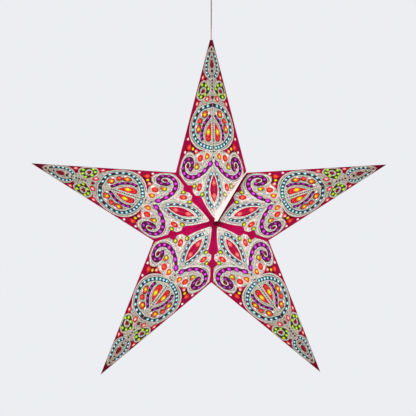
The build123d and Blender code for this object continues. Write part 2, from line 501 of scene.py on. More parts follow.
@dataclass(frozen=True)
class Tissue:
    """Coloured tissue behind the punched faces, lit through."""

    name: str = "lit_tissue"
    stops: Stops = ((0.3, (214, 48, 84)), (0.45, (228, 76, 96)), (0.6, (236, 104, 96)), (0.75, (222, 66, 130)))
    crumple: float = 0.012
    rough: float = 0.8
    relief: float = 0.0006

    def material(self) -> Material:
        """Build the material."""
        recipe = Recipe(self.name)
        crumple = recipe.noise(self.crumple, 4)
        colour = recipe.ramp(crumple, self.stops)
        return LIT.close(recipe, colour, self.rough, recipe.bump(crumple, self.relief))


@dataclass(frozen=True)
class Moulded:
    """Moulded plastic with a faint orange-peel skin and a cloudy tone and shine."""

    name: str
    colour: Colour
    shine: float = 0.38
    skin: float = 0.0009
    cloud: float = 0.011
    tone_swing: float = 0.22
    shine_swing: float = 0.18
    relief: float = 0.00005

    def material(self) -> Material:
        """Build the material."""
        recipe = Recipe(self.name)
        cloud = recipe.noise(self.cloud, 3)
        return recipe.finish({
            "Base Color": recipe.scaled(linear(self.colour), cloud * self.tone_swing + (1 - self.tone_swing / 2)),
            "Roughness": cloud * self.shine_swing + (self.shine - self.shine_swing / 2),
            "Normal": recipe.bump(recipe.noise(self.skin, 2), self.relief),
        })


@dataclass(frozen=True)
class FrostedGlass:
    """The bulb's frosted glass, lit, with a brass-coloured screw base above it."""

    name: str = "frosted_bulb"
    glass_top: float = -0.3945
    warm: Stops = ((0.3, (255, 236, 205)), (0.7, (255, 247, 230)))
    brass: Stops = ((0.3, (176, 150, 96)), (0.7, (206, 182, 122)))
    lamp: float = 1.4
    frost: float = 0.0016
    rough: float = 0.5
    metal_shine: float = 0.2
    relief: float = 0.00006

    def material(self) -> Material:
        """Build the material."""
        recipe = Recipe(self.name)
        metal = recipe.xyz()[2] > self.glass_top
        frost = recipe.noise(self.frost, 2)
        warm = recipe.ramp(frost, self.warm)
        return recipe.finish({
            "Base Color": recipe.mix(metal, warm, recipe.ramp(frost, self.brass)),
            "Emission Color": recipe.mix(metal, warm, linear((0, 0, 0))), "Emission Strength": self.lamp,
            "Metallic": metal, "Roughness": self.rough - metal * self.metal_shine,
            "Normal": recipe.bump(frost, self.relief),
        })


@dataclass(frozen=True)
class FlexJacket:
    """The flex: clear jacket over copper strands, paler where light catches it."""

    name: str = "copper_flex"
    strand: Colour = (148, 104, 94)
    gap: Colour = (112, 76, 70)
    warm: Colour = (186, 142, 118)
    tip: float = -0.109
    warm_reach: float = 0.022
    warm_share: float = 0.7
    twist: Spot2 = (2400.0, 1250.0)
    cloud: float = 0.02
    cloud_share: float = 0.4
    relief: float = 0.00008

    def material(self) -> Material:
        """Build the material."""
        recipe = Recipe(self.name)
        x, _, height = recipe.xyz()
        turn = height * self.twist[1] + x * self.twist[0]
        wave = turn.maths("SINE", turn) * 0.5 + 0.5
        near_tip = (1.0 - (height - self.tip) / self.warm_reach).clamp() * self.warm_share
        colour = recipe.mix(wave, linear(self.gap), linear(self.strand))
        colour = recipe.mix(near_tip, colour, linear(self.warm))
        cloud = recipe.noise(self.cloud, 2) * self.cloud_share + (1 - self.cloud_share / 2)
        return recipe.finish({
            "Metallic": 0.25, "Roughness": 0.35, "Coat Weight": 0.4, "Coat Roughness": 0.2,
            "Base Color": recipe.scaled(colour, cloud), "Normal": recipe.bump(wave, self.relief),
        })


@dataclass(frozen=True)
class Plain:
    """The pale floor under the lantern, which goes over into the backdrop's own tone further out."""

    name: str = "pale_floor"
    colour: Colour = (232, 234, 238)
    near: float = 0.9
    away: float = 2.4
    cloud: float = 0.5
    cloud_share: float = 0.03

    def material(self, backdrop: Colour) -> Material:
        """Build the material.

        Args:
            backdrop: The tone that it goes over into where the eye sees it.

        Returns:
            The finished material.
        """
        recipe = Recipe(self.name)
        cloud = recipe.noise(self.cloud, 2) * self.cloud_share + (1 - self.cloud_share / 2)
        tone = recipe.scaled(linear(self.colour), cloud)
        reach = recipe.value(recipe.vector("LENGTH", recipe.place()), 1)
        share = ((reach - self.near) / (self.away - self.near)).clamp()
        seen = recipe.value(recipe.node("LightPath"), "Is Camera Ray")
        floor = recipe.node("BsdfPrincipled", {}, {"Roughness": 0.9, "Specular IOR Level": 0.1, "Base Color": tone})
        far = recipe.node("Emission", {}, {"Color": linear(backdrop), "Strength": 1.0})
        return recipe.close(recipe.node("MixShader", {}, {0: share * seen, 1: floor, 2: far}))


class Ink(Enum):
    """The finishes of the print, each by its own recipe."""

    SILVER = SilverInk(
        "silver_print",
        (
            (0.0, (224, 216, 208)), (0.2, (196, 190, 180)), (0.38, (172, 168, 155)), (0.7, (156, 150, 138)),
            (1.0, (142, 124, 116)),
        ),
        sparkle=0.75, contrast=2.7,
    )
    SILVER_LINE = SilverInk(
        "silver_line",
        ((0.0, (246, 240, 232)), (0.35, (218, 215, 203)), (0.7, (196, 190, 177)), (1.0, (168, 152, 141))),
        sparkle=0.25,
    )
    BEAD_GROUND = FieldInk("dark_plum_ground", (66, 44, 64), (46, 30, 42))
    MARK_GROUND = FieldInk("grey_plum_ground", (106, 76, 92), (92, 64, 78))
    PLUM_GROUND = FieldInk("plum_ground", (78, 16, 54), (60, 10, 40))
    OLIVE_GROUND = FieldInk("olive_ground", (70, 62, 18), (54, 38, 14))
    CURL_GROUND = FieldInk("pink_ground", (104, 34, 60), (82, 24, 46))
    NIGHT = FieldInk("dark_marks", (96, 12, 38), (66, 4, 22))
    RED_GROUND = FieldInk("red_ground", (196, 24, 56), (150, 8, 34))
    BLUSH = FieldInk("blush", (250, 204, 194), (236, 178, 168))
    # Each spot's core colour is painted lamp light through its hole, and its rim colour a printed outline with painted
    # shade.
    TEAL = LitSpot("teal_bead", (216, 242, 248), (76, 152, 160), (20, 52, 62), rim_end=0.16, core_start=0.86)
    PURPLE = LitSpot("purple_gem", (224, 80, 216), (154, 22, 142), (36, 4, 36), rim_end=0.26, core_start=0.86)
    PLUM = LitSpot("plum_gem", (196, 66, 190), (124, 22, 116), (34, 4, 34), rim_end=0.28, core_start=0.88)
    AMBER = LitSpot("amber_cell", (224, 118, 40), (202, 70, 34), (116, 18, 18), rim_end=0.1, core_start=0.82)
    YELLOW = LitSpot("yellow_bead", (244, 226, 52), (208, 170, 20), (126, 74, 10), rim_end=0.14, core_start=0.84)
    GREEN = LitSpot("green_bead", (208, 234, 72), (128, 174, 30), (36, 52, 8), rim_end=0.16, core_start=0.86)
    LIME = LitSpot("lime_bead", (236, 236, 84), (174, 178, 26), (74, 72, 8), rim_end=0.16, core_start=0.84)
    RED = LitSpot("red_spot", (240, 86, 62), (206, 34, 32), (128, 6, 18), core_start=0.84)
    PINK = LitSpot("pink_drop", (255, 214, 206), (236, 98, 90), (196, 30, 50), core_start=0.86)
    WHITE = LitSpot("pinhole", (255, 246, 240), (250, 212, 208), (214, 132, 142), rim_end=0.05)
    LENS = LitSpot("red_lens", (186, 12, 62), (172, 6, 56), (120, 4, 34), rim_end=0.05)
    EMBER = LitSpot("ember", (248, 142, 118), (228, 78, 84), (196, 28, 66), rim_end=0.0)
    EYE = LitSpot("eye_lens", (134, 6, 36), (112, 4, 28), (76, 2, 18), rim_end=0.05)
    FLAME = LitSpot("leaf_flame", (228, 78, 44), (206, 38, 42), (112, 4, 26))


def oval(centre: Spot2, half: Spot2, count: int, sweep: float = 360) -> Outline:
    """Draw an oval or part of one.

    Args:
        centre: Its middle, down the ridge and across.
        half: Its half sizes the same two ways.
        count: How many steps it has.
        sweep: How far round it goes, in degrees from the centre side of the ridge.

    Returns:
        The outline; a whole oval leaves out its last, doubled point.
    """
    turns = [math.radians(sweep * n / count) for n in range(count if sweep >= 360 else count + 1)]
    return [(centre[0] + half[0] * math.cos(t), centre[1] + half[1] * math.sin(t)) for t in turns]


def almond(start: float, end: float, half_width: float, lean: float, swell: float, count: int = 22) -> Outline:
    """Draw half an almond that lies on the ridge.

    Args:
        start: Where it begins down the ridge.
        end: Where it ends.
        half_width: How far it reaches from the ridge.
        lean: Above 1 its widest place moves towards the end.
        swell: Below 1 its ends are blunter.
        count: How many steps it has.

    Returns:
        The outline, closed along the ridge.
    """
    shares = [n / count for n in range(count + 1)]
    return [
        (start + (end - start) * t, half_width * max(math.sin(math.pi * t**lean), 0.0) ** swell) for t in shares
    ]


def smooth(corners: Sequence[Spot2], steps: int = 3, closed: bool = False) -> Outline:
    """Draw a smooth line through some corners.

    Args:
        corners: What it passes through.
        steps: How many steps each stretch has.
        closed: Whether it goes back to its start.

    Returns:
        The line; a closed one leaves out its last, doubled point.
    """
    path = []
    count = len(corners)
    for n in range(count if closed else count - 1):
        around = [(n + k - 1) % count if closed else min(max(n + k - 1, 0), count - 1) for k in range(4)]
        p0, p1, p2, p3 = (Vector(corners[k]) for k in around)
        for step in range(steps):
            t = step / steps
            spot = 0.5 * (
                2 * p1 + (p2 - p0) * t + (2 * p0 - 5 * p1 + 4 * p2 - p3) * t**2 + (3 * p1 - p0 - 3 * p2 + p3) * t**3
            )
            path.append((spot.x, spot.y))
    if not closed:
        path.append(tuple(corners[-1]))
    return path


def shifted(path: Outline, off: float) -> Outline:
    """Move an open line sideways, away from the ridge where it runs down the face."""
    moved = []
    for n, (s, v) in enumerate(path):
        before, after = path[max(n - 1, 0)], path[min(n + 1, len(path) - 1)]
        ds, dv = after[0] - before[0], after[1] - before[1]
        length = math.hypot(ds, dv) or 1.0
        moved.append((s - dv / length * off, v + ds / length * off))
    return moved


def ribbon(path: Outline, outer: float, inner: float) -> Outline:
    """Draw the band between two lines beside a path."""
    return shifted(path, outer) + shifted(path, -inner)[::-1]


@dataclass(frozen=True)
class Face:
    """The flat face that the print has to stay on: ridge, free edge and valley."""

    edge_margin: float = 1.0
    valley_margin: float = 4.2
    longest: float = 2.2
    shortest: float = 0.05

    @property
    def ridge(self) -> float:
        """The ridge's length in millimetres."""
        return math.hypot(STAR.tip_radius, STAR.half_depth) / MM

    @property
    def notch(self) -> Spot2:
        """Where the notch lies, down the ridge and across."""
        reach = STAR.face(Point.TOP, 1, False).inverted() @ (STAR.centre + STAR.notch())
        return (reach.x, reach.y)

    def fit(self, outline: Iterable[Spot2], closed: bool = True, inset: float = 0.0) -> Outline:
        """Keep an outline on the face.

        Args:
            outline: The outline or line.
            closed: Whether it goes back to its start.
            inset: How much further it stays from the paper's edges.

        Returns:
            The outline in short steps, none of it off the face.
        """
        corners = list(outline)
        if closed:
            corners.append(corners[0])
        notch_s, notch_v = self.notch
        kept: Outline = []
        for (s0, v0), (s1, v1) in zip(corners, corners[1:]):
            steps = max(1, math.ceil(math.dist((s0, v0), (s1, v1)) / self.longest))
            for step in range(steps + (0 if closed else 1)):
                s = s0 + (s1 - s0) * step / steps
                v = v0 + (v1 - v0) * step / steps
                edge = s * notch_v / notch_s - self.edge_margin - inset
                valley = (self.ridge - s) * notch_v / (self.ridge - notch_s) - self.valley_margin - inset
                spot = (s, max(min(v, edge, valley), 0.0))
                if not kept or math.dist(spot, kept[-1]) > self.shortest:
                    kept.append(spot)
        if closed and len(kept) > 3 and math.dist(kept[0], kept[-1]) <= self.shortest:
            kept.pop()
        return kept


FACE = Face()


class Cut(Enum):
    """The outlines that punched spots and gems have, one unit long and wide."""

    ROUND = tuple(oval((0, 0), (0.5, 0.5), 12))
    GEM = (
        (0.5, 0.16), (0.34, 0.42), (0.12, 0.5), (-0.12, 0.5), (-0.34, 0.42), (-0.5, 0.16),
        (-0.5, -0.16), (-0.34, -0.42), (-0.12, -0.5), (0.12, -0.5), (0.34, -0.42), (0.5, -0.16),
    )
    DROP = tuple(
        (0.5 * math.cos(t), 0.62 * math.sin(t) * math.sin(t / 2)) for t in map(math.radians, range(0, 360, 30))
    )
    LEAF = tuple(
        (side * (0.5 - n / 6), side * 0.5 * math.sin(math.pi * n / 6) ** 0.75) for side in (1, -1) for n in range(6)
    )
    SQUARE = (
        (0.5, 0.36), (0.36, 0.5), (-0.36, 0.5), (-0.5, 0.36),
        (-0.5, -0.36), (-0.36, -0.5), (0.36, -0.5), (0.5, -0.36),
    )


class Bench:
    """The steps that every piece goes through."""

    @staticmethod
    def clear() -> None:
        """Leave edit mode and deselect all."""
        if bpy.context.object and bpy.context.object.mode != "OBJECT":
            bpy.ops.object.mode_set(mode="OBJECT")
        bpy.ops.object.select_all(action="DESELECT")

    @staticmethod
    def pick(*pieces: Object) -> None:
        """Select these pieces alone, the first active."""
        Bench.clear()
        for piece in pieces:
            piece.select_set(True)
        bpy.context.view_layer.objects.active = pieces[0]

    @staticmethod
    def disc(outline: Sequence[Spot2], height: float) -> Object:
        """Lay one flat face of that outline at a height, and edit it."""
        Bench.clear()
        bpy.ops.mesh.primitive_circle_add(vertices=len(outline), radius=1, fill_type="NGON")
        piece = bpy.context.object
        for corner, (s, v) in zip(piece.data.vertices, outline):
            corner.co = (s, v, height)
        Bench.edit()
        return piece

    @staticmethod
    def edit() -> None:
        """Edit the active mesh, all of it selected."""
        bpy.ops.object.mode_set(mode="EDIT")
        bpy.ops.mesh.select_all(action="SELECT")

    @staticmethod
    def raised(height: float) -> None:
        """Extrude what is selected upward by so much."""
        bpy.ops.mesh.extrude_region()
        bpy.ops.transform.translate(value=(0, 0, height))

    @staticmethod
    def seal() -> None:
        """Turn all faces outward and leave edit mode."""
        bpy.ops.mesh.select_all(action="SELECT")
        bpy.ops.mesh.normals_make_consistent(inside=False)
        bpy.ops.object.mode_set(mode="OBJECT")

    @staticmethod
    def sheet(outline: Outline, bottom: float, top: float) -> Object:
        """Raise a flat outline into a thin closed sheet between two heights, in millimetres."""
        piece = Bench.disc(outline, bottom)
        Bench.raised(top - bottom)
        Bench.seal()
        return piece

    @staticmethod
    def curve(name: str, kind: str, knots: Sequence[Sequence[float]], wide: float) -> Object:
        """Draw a capped line through knots.

        Args:
            name: Its name.
            kind: The type of its spline.
            knots: The points of its spline.
            wide: Its width.

        Returns:
            The line, still a curve.
        """
        curve = bpy.data.curves.new(name, "CURVE")
        curve.dimensions = "3D"
        curve.bevel_depth = wide / 2
        curve.use_fill_caps = True
        spline = curve.splines.new(kind)
        spline.points.add(len(knots) - 1)
        for point, knot in zip(spline.points, knots):
            point.co = (*knot, 1)
        piece = bpy.data.objects.new(name, curve)
        bpy.context.collection.objects.link(piece)
        return piece

    @staticmethod
    def glow(piece: Object, value: float) -> None:
        """Give a mesh one brightness all over, for a finish that goes from rim to core."""
        depth = piece.data.attributes.new(GLOW, "FLOAT", "POINT")
        depth.data.foreach_set("value", [value] * len(piece.data.vertices))

    @staticmethod
    def join(pieces: Sequence[Object], name: str) -> Object:
        """Join pieces into one of that name."""
        Bench.pick(*pieces)
        if len(pieces) > 1:
            bpy.ops.object.join()
        joined = bpy.context.object
        joined.name = name
        joined.data.name = name
        return joined

    @staticmethod
    def copy(piece: Object, place: Matrix) -> Object:
        """Copy a piece with its own mesh, its place put into the mesh."""
        twin = piece.copy()
        twin.data = piece.data.copy()
        bpy.context.collection.objects.link(twin)
        twin.data.transform(place)
        if place.determinant() < 0:
            twin.data.flip_normals()
        return twin

    @staticmethod
    def remove(pieces: Iterable[Object]) -> None:
        """Take away patterns that were only copied from."""
        for piece in list(pieces):
            bpy.data.meshes.remove(piece.data)


class SpotCutter:
    """Makes one domed spot of each cut, and copies it where it is wanted.

    Each ring of a spot has its width, height and painted brightness, which is lowest at the rim and
    highest at the crown. Faces that meet at less than so many degrees are smoothed together.
    """

    rings: tuple[tuple[float, float, float], ...] = (
        (1.0, 0.55, 0.0), (0.8, 0.8, 0.38), (0.55, 0.94, 0.75), (0.28, 1.0, 1.0),
    )
    smooth_to: float = 50

    def __init__(self) -> None:
        """Start with no spots made."""
        self.made: dict[Cut, Object] = {}

    def pattern(self, cut: Cut) -> Object:
        """Model one spot, a unit across and high, with its depth of glow by ring."""
        piece = Bench.disc(cut.value, 0)
        Bench.raised(self.rings[0][1])
        for (wide, low, _), (narrow, high, _) in zip(self.rings, self.rings[1:]):
            Bench.raised(high - low)
            share = narrow / wide
            bpy.ops.transform.resize(value=(share, share, 1), center_override=(0, 0, high))
        Bench.seal()
        depth = piece.data.attributes.new(GLOW, "FLOAT", "POINT")
        for corner, glow in zip(piece.data.vertices, depth.data):
            glow.value = next((g for _, high, g in self.rings if abs(corner.co.z - high) < 0.001), 0.0)
        bpy.ops.object.shade_smooth_by_angle(angle=math.radians(self.smooth_to))
        return piece

    def place(self, cut: Cut, at: Spot2, size: Spot2, turn: float, bottom: float, height: float) -> Object:
        """Copy a spot to its place on the flat pattern.

        Args:
            cut: Its outline.
            at: Its middle, down the ridge and across.
            size: Its length and width.
            turn: How far its length is turned from the ridge, in degrees.
            bottom: The height of its underside.
            height: The height of its crown.

        Returns:
            The spot, in face millimetres.
        """
        if cut not in self.made:
            self.made[cut] = self.pattern(cut)
        where = Matrix.Translation((at[0], at[1], bottom)) @ Matrix.Rotation(math.radians(turn), 4, "Z")
        grow = Matrix.Diagonal((size[0], size[1], height - bottom, 1))
        return Bench.copy(self.made[cut], where @ grow)


@dataclass(frozen=True)
class Curl:
    """The large curl's gems along a spiral that closes round its eye."""

    middle: Spot2 = (216.0, 54.6)
    eye: Spot2 = (217.3, 55.6)
    ring: float = 8.9
    tail: float = 39.6
    fade: float = 64.0
    start: float = -79.6
    gems: int = 11
    gem: float = 8.0
    gap: float = 8.2
    least: float = 0.4
    steps: int = 44

    def share(self, turn: float) -> float:
        """How much of the tail is left at a turn."""
        return math.exp((self.start - turn) / self.fade)

    def radius(self, turn: float) -> float:
        """The spiral's radius at a turn."""
        return self.ring + self.tail * self.share(turn)

    def lean(self, turn: float) -> float:
        """The direction of the spiral at a turn, in degrees from the ridge."""
        fall = self.tail * self.share(turn) / math.radians(self.fade)
        return turn + 90 + math.degrees(math.atan2(fall, self.radius(turn)))

    def spot(self, turn: float, off: float = 0.0) -> Spot2:
        """A point of the spiral, or off it by so much outward."""
        reach = self.radius(turn) + off
        angle = math.radians(turn)
        return (self.middle[0] + reach * math.cos(angle), self.middle[1] + reach * math.sin(angle))

    def gem_turns(self) -> list[tuple[float, float]]:
        """Each gem's turn and size share."""
        found = []
        turn = self.start
        for _ in range(self.gems):
            left = self.share(turn)
            size = self.least + (1 - self.least) * left
            found.append((turn, size))
            fall = self.tail * left * math.degrees(1) / self.fade
            turn += math.degrees((self.gem * size + self.gap) / math.hypot(self.radius(turn), fall))
        return found

    def path(self, first: float, last: float, off: float) -> Outline:
        """The line round the spiral between two turns, so much outward of the gems."""
        return [self.spot(first + (last - first) * n / self.steps, off) for n in range(self.steps + 1)]


class FacePattern:
    """The print of one face, drawn flat: millimetres down the ridge from the tip and across from the ridge.

    The levels are heights over the paper. Some fields that overlap on one level are laid a few
    hundredths apart, so that they don't share a plane.
    """

    silver = 0.14
    ground = 0.24
    inner = 0.34
    cell = 0.44
    rim = 0.62
    crown = 1.25
    sunk = -0.08
    weld = 0.001

    def __init__(self) -> None:
        """Draw every part of the pattern."""
        self.cutter = SpotCutter()
        self.pieces: dict[Ink, list[Object]] = {ink: [] for ink in Ink}
        self.curl = Curl()
        self.tip_almond()
        self.green_paisley()
        self.medallion()
        self.medallion_heart()
        self.edge_group()
        self.pale_field()
        self.bridge()
        self.curl_print()
        self.mandorla()
        self.side_petal()

    def field(self, ink: Ink, outline: Outline, level: float, glow: float = 0.5) -> None:
        """Lay a flat field, kept on the face.

        Args:
            ink: Its finish.
            outline: Its outline.
            level: The height of its face.
            glow: How bright it is in a finish that goes from rim to core.
        """
        piece = Bench.sheet(FACE.fit(outline), self.sunk, level)
        Bench.glow(piece, glow)
        self.pieces[ink].append(piece)

    def line(
        self, outline: Outline, level: float, wide: float, ink: Ink = Ink.SILVER_LINE, closed: bool = False,
    ) -> None:
        """Lay a raised line along a path.

        Args:
            outline: The path.
            level: The height that it lies on.
            wide: Its width.
            ink: Its finish.
            closed: Whether it ends where it starts.
        """
        path = FACE.fit(outline, closed, wide / 2)
        piece = Bench.curve("line", "POLY", [(s, v, 0) for s, v in path], wide)
        piece.data.bevel_resolution = 0
        piece.data.splines[0].use_cyclic_u = closed
        Bench.pick(piece)
        bpy.ops.object.convert(target="MESH")
        piece = bpy.context.object
        piece.data.transform(Matrix.Translation((0, 0, level)) @ Matrix.Diagonal((1, 1, 0.5, 1)))
        Bench.edit()
        bpy.ops.mesh.remove_doubles(threshold=self.weld)
        Bench.seal()
        self.pieces[ink].append(piece)

    def spot(self, ink: Ink, cut: Cut, at: Spot2, size: Spot2, turn: float = 0.0, crown: float = crown) -> None:
        """Set one domed spot, its foot in the paper."""
        self.pieces[ink].append(self.cutter.place(cut, at, size, turn, self.sunk, crown))

    def rimmed(self, ink: Ink, cut: Cut, at: Spot2, size: Spot2, turn: float, rim: Ink, wide: float) -> None:
        """Set one domed spot on a flat oval of another ink that shows all round it."""
        half = (size[0] / 2 + wide, size[1] / 2 + wide)
        cos, sin = math.cos(math.radians(turn)), math.sin(math.radians(turn))
        around = [(at[0] + x * cos - y * sin, at[1] + x * sin + y * cos) for x, y in oval((0, 0), half, 14)]
        self.field(rim, around, self.rim)
        self.spot(ink, cut, at, size, turn)

    def bead_ring(
        self, ends: tuple[Spot2, Spot2], beads: tuple[Spot2, ...], size: Spot2, half: float,
        ground: Ink = Ink.BEAD_GROUND,
    ) -> None:
        """Lay a dark band with a silver line on each side and a row of teal beads on it.

        Args:
            ends: Where the band starts and ends.
            beads: Where the beads sit, along its middle.
            size: A bead's length along the band and its width.
            half: Half of the band's width.
            ground: The band's finish.
        """
        path = smooth((ends[0], *beads, ends[1]))
        self.field(ground, ribbon(path, half, half), self.ground)
        self.line(shifted(path, half + 0.5), self.ground, 1.5)
        self.line(shifted(path, -half - 0.5), self.ground, 1.4)
        self.line(shifted(path, half + 1.8), self.silver, 0.9, Ink.MARK_GROUND)
        for bead in beads:
            near = min(range(len(path)), key=lambda n: math.dist(path[n], bead))
            back, on = path[max(near - 1, 0)], path[min(near + 1, len(path) - 1)]
            lean = math.degrees(math.atan2(on[1] - back[1], on[0] - back[0]))
            self.spot(Ink.TEAL, Cut.ROUND, bead, size, lean)

    def bars(self, ink: Ink, middles: Iterable[float], half: Spot2, level: float, count: int = 6) -> None:
        """Lay half ovals of one size on the ridge, which its other face makes whole."""
        for s in middles:
            self.field(ink, oval((s, 0), half, count, 180), level)

    def tip_almond(self) -> None:
        """The long almond at the tip with its beads and its small lens."""
        edge = smooth((
            (20.5, 0), (22, 3.4), (26.5, 8.0), (33, 11.4), (40, 14.2), (48, 16.9), (54, 18.2), (60.2, 18.2),
            (66.8, 16), (72.2, 12.9), (76, 8.4), (79, 3), (79.6, 0),
        ), 2)
        self.field(Ink.SILVER, edge, self.silver)
        self.line(shifted(edge, -0.6), self.silver, 1.6)
        beads = ((37.8, 7.0), (45.0, 10.0), (52.2, 11.6), (58.9, 11.8), (65.6, 10.6), (71.6, 7.5))
        self.bead_ring(((34.2, 4.6), (74.6, 4.4)), beads, (5.4, 4.9), 2.7)
        self.field(Ink.EYE, almond(45.2, 61.4, 4.2, 1.05, 0.8, 12), self.cell)
        for s, half in ((26.6, (2.1, 1.9)), (40.9, (1.6, 1.7)), (65.4, (2.3, 2.9)), (74.0, (1.2, 1.3))):
            self.bars(Ink.NIGHT, (s,), half, self.cell, 8)
        self.spot(Ink.NIGHT, Cut.SQUARE, (32.4, 4.0), (3.6, 2.8), 30, 0.6)
        self.rimmed(Ink.PINK, Cut.DROP, (71.6, 19.4), (8.4, 5.4), 200, Ink.RED_GROUND, 1.0)

    def green_paisley(self) -> None:
        """The teardrop of green beads round a dark eye, and the drops below it."""
        strip = [
            (76, 0), (76.5, 9.5), (80.5, 14.5), (84, 13.2), (92, 7), (100, 4.2), (105, 8), (110.5, 16), (112.6, 23),
            (113.5, 29), (119, 33.5), (124, 38), (124, 0),
        ]
        self.field(Ink.SILVER, strip, self.silver)
        drop = smooth((
            (98.4, 3.6), (89, 8.4), (80.8, 13.8), (77.8, 18.8), (80.8, 25.6), (88.6, 31.6), (96, 34.2), (103.4, 33.0),
            (109.4, 28.4), (110.8, 22.0), (107, 12.8), (103, 7.2),
        ), closed=True)
        self.field(Ink.SILVER, drop, self.silver + 0.03)
        self.line(drop, self.silver + 0.04, 1.8, closed=True)
        middle = (94.8, 19.6)
        inside = [(middle[0] + (s - middle[0]) * 0.86, middle[1] + (v - middle[1]) * 0.86) for s, v in drop]
        self.field(Ink.OLIVE_GROUND, inside, self.ground)
        self.field(Ink.SILVER, oval((95.4, 20.0), (6.6, 7.2), 18), self.inner)
        self.line(oval((95.4, 20.0), (5.7, 6.4), 18), self.inner, 1.7, closed=True)
        self.spot(Ink.EYE, Cut.DROP, (95.6, 20.2), (7.6, 9.8), 180, 0.9)
        for at, size in (
            ((84.4, 21.4), 7.0), ((87.6, 13.0), 7.0), ((95.2, 7.6), 6.6), ((99.4, 29.2), 6.6), ((104.9, 24.2), 7.0),
            ((103.3, 15.2), 7.2),
        ):
            self.spot(Ink.GREEN, Cut.ROUND, at, (size, size * 0.94))
        for s, v in ((81.6, 17.2), (90.2, 27.0), (99.8, 10.8), (105.6, 19.8), (85.4, 26.0)):
            self.spot(Ink.NIGHT, Cut.ROUND, (s, v), (2.8, 2.8), 0, 0.6)
        self.rimmed(Ink.PINK, Cut.DROP, (111.9, 10.8), (9.4, 7.6), 196, Ink.RED_GROUND, 0.9)
        self.rimmed(Ink.PINK, Cut.DROP, (114.6, 33.2), (8.8, 6.2), 196, Ink.RED_GROUND, 0.9)
        self.field(Ink.EYE, [(108.6, 0), (110, 3.2), (113, 2.6), (116, 0)], self.cell)
        self.bars(Ink.NIGHT, (81.8, 87.2, 92.8, 98.6), (1.7, 1.6), self.inner)

    def medallion(self) -> None:
        """The large medallion's outline and its ring of teal beads."""
        edge = smooth((
            (120.2, 0), (119.8, 11), (120.2, 22), (123.8, 35.4), (133.8, 44.2), (145.6, 49.4), (157.0, 51.6),
            (167.6, 50.8), (177.8, 46.6), (186.8, 39.6), (194.0, 30.0), (199.6, 18.4), (203.2, 7.4), (203.8, 0),
        ))
        self.field(Ink.SILVER, edge, self.silver)
        self.line(shifted(edge, -0.7), self.silver, 1.9)
        beads = (
            (125.1, 9.6), (125.0, 19.8), (129.0, 29.2), (138.3, 37.2), (147.8, 41.7), (157.8, 43.4), (167.0, 41.6),
            (174.8, 37.5), (181.4, 31.9), (187.4, 25.6), (191.6, 18.9), (195.2, 12.0), (198.0, 5.2),
        )
        self.bead_ring(((125.0, 0.4), (199.0, 0.4)), beads, (7.2, 6.8), 3.6)

    def medallion_heart(self) -> None:
        """The drops, gems, leaf and ridge bars inside the medallion."""
        self.rimmed(Ink.AMBER, Cut.ROUND, (137.2, 16.4), (11.6, 12.0), 0, Ink.NIGHT, 0.6)
        self.spot(Ink.YELLOW, Cut.ROUND, (138.4, 16.2), (6.2, 6.8), 0, 1.5)
        self.rimmed(Ink.AMBER, Cut.LEAF, (159.4, 30.7), (15.4, 9.4), 8, Ink.NIGHT, 0.6)
        self.spot(Ink.YELLOW, Cut.ROUND, (160.2, 30.6), (6.6, 7.0), 0, 1.5)
        self.rimmed(Ink.RED, Cut.SQUARE, (146.5, 27.4), (8.0, 8.8), 8, Ink.NIGHT, 0.9)
        for at, size, turn in (
            ((136.6, 24.6), (6.0, 4.2), 40), ((138.2, 8.2), (6.0, 4.6), 10), ((154.4, 35.6), (6.0, 4.0), 35),
        ):
            self.spot(Ink.WHITE, Cut.DROP, at, size, turn, 0.8)
        gems = ((146.2, 8.8), (152.6, 16.6), (160.2, 21.2), (168.6, 24.0), (176.2, 24.2))
        arc = smooth(((142.0, 4.6), *gems, (181.0, 22.4)))
        self.field(Ink.PLUM_GROUND, ribbon(arc, 3.4, 3.2), self.cell)
        for off in (3.8, -3.6):
            self.line(shifted(arc, off), self.cell - 0.08, 1.2)
        for at, turn in zip(gems, (48, 42, 28, 10, -8)):
            self.spot(Ink.PLUM, Cut.GEM, at, (7.4, 5.6), turn)
        leaf = smooth((
            (153.6, 3.4), (158, 9.6), (166, 15.0), (175, 17.4), (183, 15.8), (187, 10.6), (185.6, 4.4), (176, 3.4),
            (164, 3.2),
        ), closed=True)
        self.field(Ink.NIGHT, leaf, self.cell)
        self.line(leaf, self.cell - 0.06, 1.2, closed=True)
        petal = smooth((
            (155.8, 4.3), (159.6, 9.4), (166.6, 13.8), (175, 16.1), (181.8, 14.4), (185.0, 10.0), (183.6, 5.2),
            (176, 4.3), (165, 4.1),
        ), closed=True)
        self.field(Ink.FLAME, petal, self.rim)
        self.spot(Ink.FLAME, Cut.LEAF, (169.8, 9.6), (24.0, 11.2), 6, 1.1)
        self.spot(Ink.YELLOW, Cut.LEAF, (170.0, 9.4), (13.6, 8.4), 4, 1.5)
        for s, v in ((179.2, 12.4), (182.0, 8.2)):
            self.spot(Ink.RED, Cut.ROUND, (s, v), (4.6, 4.8), 0, 1.2)
        self.line([(130, 1.9), (203, 1.9)], self.inner, 1.2)
        for n in range(15):
            s = 144.0 + n * 3.9
            self.field(Ink.NIGHT, [(s, 0), (s, 0.75), (s + 2.1, 0.75), (s + 2.1, 0)], self.inner + 0.06)

